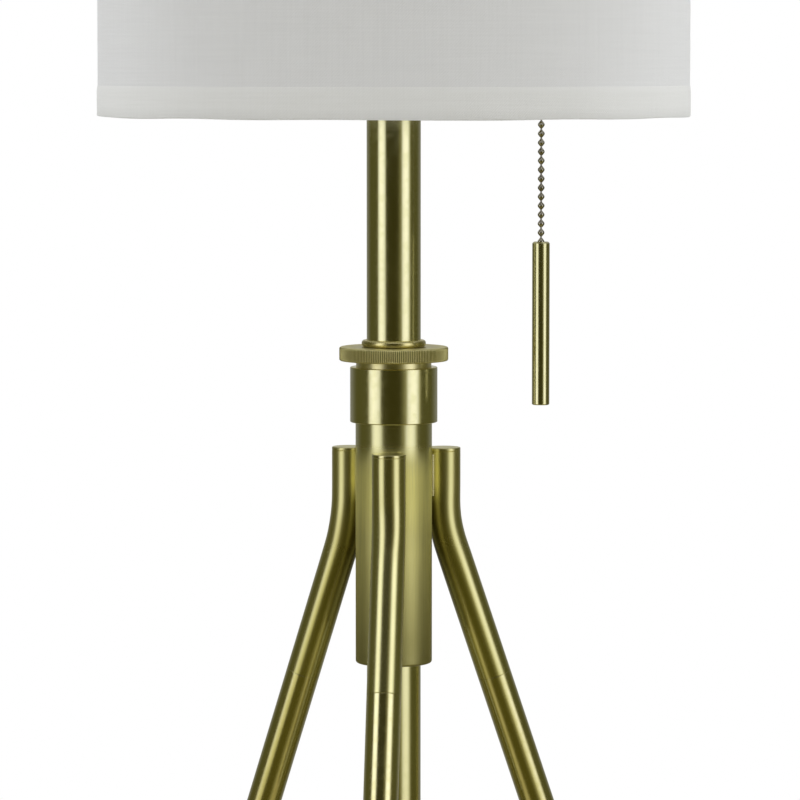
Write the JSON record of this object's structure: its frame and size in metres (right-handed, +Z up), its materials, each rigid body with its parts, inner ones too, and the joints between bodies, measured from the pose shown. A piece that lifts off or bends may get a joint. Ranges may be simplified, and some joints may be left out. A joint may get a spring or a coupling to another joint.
{
  "type": "tripod table lamp",
  "caption": "Tripod table lamp: a drum shade on a height-adjustable pole, clamped by a knurled nut in a hub on splayed bent-tube legs, with a bead pull chain.",
  "frame": {"origin": "on the pole's axis at table level, under the middle of the lamp", "axes": "+Z up along the pole; the front leg points towards -Y and the pull chain hangs on the +X side"},
  "size_m": [0.2772, 0.2782, 0.7035],
  "materials": {
    "pole_brass": "satin polished brass with a clear lacquer",
    "hub_brass": "brushed satin brass",
    "nut_brass": "matt pale brass with a fine straight knurl",
    "steel": "zinc plated",
    "chain_nickel": "nickel plated",
    "rubber": "matt",
    "nylon": "matt",
    "phenolic": "moulded phenolic",
    "fibre": "waxed fibre",
    "linen": "fine plain weave",
    "hem": "fine plain weave, folded",
    "liner": "matt white styrene",
    "white_glass": "frosted white",
    "clear_glass": "clear"
  },
  "bodies": {
    "base": {"hub_tube": "hub_brass", "guide_bush": "nylon", "collar_sleeve": "pole_brass", "collet": "nut_brass", "upper_leg_front": "hub_brass", "upper_leg_right": "hub_brass", "upper_leg_left": "hub_brass", "leg_cap_front": "hub_brass", "leg_cap_right": "hub_brass", "leg_cap_left": "hub_brass", "leg_welds": "hub_brass", "leg_sockets": "steel", "leg_studs": "steel", "lower_leg_front": "pole_brass", "lower_leg_right": "pole_brass", "lower_leg_left": "pole_brass", "foot_tip_front": "rubber", "foot_tip_right": "rubber", "foot_tip_left": "rubber"},
    "trim": {"trim_ring": "pole_brass"},
    "nut": {"clamp_nut": "nut_brass"},
    "head": {"pole": "pole_brass", "pole_end_cap": "pole_brass", "cord_bushing": "nylon", "pole_top_plug": "steel", "nipple": "steel", "lock_nuts": "steel", "switch_bracket": "steel", "harp_saddle": "steel", "switch_case": "phenolic", "switch_nipple": "hub_brass", "socket_cap": "hub_brass", "socket_core": "phenolic", "socket_screw_shell": "hub_brass", "socket_contact": "hub_brass", "terminal_screws": "hub_brass", "socket_liner": "fibre", "socket_shell": "hub_brass", "harp": "pole_brass", "harp_stud": "pole_brass"},
    "lock_right": {"harp_sleeve_right": "pole_brass"},
    "lock_left": {"harp_sleeve_left": "pole_brass"},
    "shade": {"shade_fabric": "linen", "shade_liner": "liner", "shade_fitter": "steel", "shade_bottom_ring": "steel", "shade_top_hem": "hem", "shade_bottom_hem": "hem"},
    "finial": {"finial": "pole_brass"},
    "bulb": {"bulb_globe": "white_glass", "bulb_base": "steel", "bulb_contact": "phenolic", "bulb_stem": "clear_glass", "bulb_filament": "steel"},
    "drum": {"switch_drum": "nylon", "switch_spring": "steel"},
    "chain_feed": {"chain_inner": "chain_nickel"},
    "chain_pivot": {"chain_pivot_bead": "chain_nickel"},
    "chain": {"chain_hanging": "chain_nickel"},
    "fob": {"pull_fob": "pole_brass"}
  },
  "joints": [
    {"name": "pole_height", "type": "slide", "parent": "base", "child": "head", "axis": [0, 0, 1], "range_m": [-0.075, 0.1]},
    {"name": "trim_lift", "type": "slide", "parent": "base", "child": "trim", "axis": [0, 0, 1], "range_m": [0, 0.00225]},
    {"name": "nut_turn", "type": "hinge", "parent": "trim", "child": "nut", "pos_m": [0, 0, 0.37], "axis": [0, 0, 1], "range_deg": [0, 540]},
    {"name": "lock_right_slide", "type": "slide", "parent": "head", "child": "lock_right", "axis": [0, 0, 1], "range_m": [0, 0.012]},
    {"name": "lock_left_slide", "type": "slide", "parent": "head", "child": "lock_left", "axis": [0, 0, 1], "range_m": [0, 0.012]},
    {"name": "shade_turn", "type": "hinge", "parent": "head", "child": "shade", "pos_m": [0, 0, 0.681], "axis": [0, 0, 1], "continuous": true},
    {"name": "finial_turn", "type": "hinge", "parent": "head", "child": "finial", "pos_m": [0, 0, 0.686], "axis": [0, 0, 1], "range_deg": [0, 720]},
    {"name": "bulb_turn", "type": "hinge", "parent": "head", "child": "bulb", "pos_m": [0, 0, 0.545], "axis": [0, 0, 1], "range_deg": [0, 720]},
    {"name": "chain_pull", "type": "slide", "parent": "head", "child": "chain_feed", "axis": [0, 0, -1], "range_m": [0, 0.012], "stiffness_N_per_m": 500, "springref_m": -0.002},
    {"name": "drum_turn", "type": "hinge", "parent": "head", "child": "drum", "pos_m": [0.06146, 0, 0.508], "axis": [0, 1, 0], "range_deg": [0, 92]},
    {"name": "chain_swing_side", "type": "hinge", "parent": "chain_feed", "child": "chain_pivot", "pos_m": [0.0691, 0, 0.4853], "axis": [0, 1, 0], "range_deg": [-15, 12]},
    {"name": "chain_swing_front", "type": "hinge", "parent": "chain_pivot", "child": "chain", "pos_m": [0.0691, 0, 0.4853], "axis": [1, 0, 0], "range_deg": [-20, 20]},
    {"name": "fob_spin", "type": "hinge", "parent": "chain", "child": "fob", "pos_m": [0.0691, 0, 0.4023], "axis": [0, 0, 1], "continuous": true}
  ],
  "couplings": [
    {"joint": "nut_turn", "follows": "trim_lift", "rad_per_m": 4188.8},
    {"joint": "drum_turn", "follows": "chain_pull", "rad_per_m": 130.9}
  ]
}
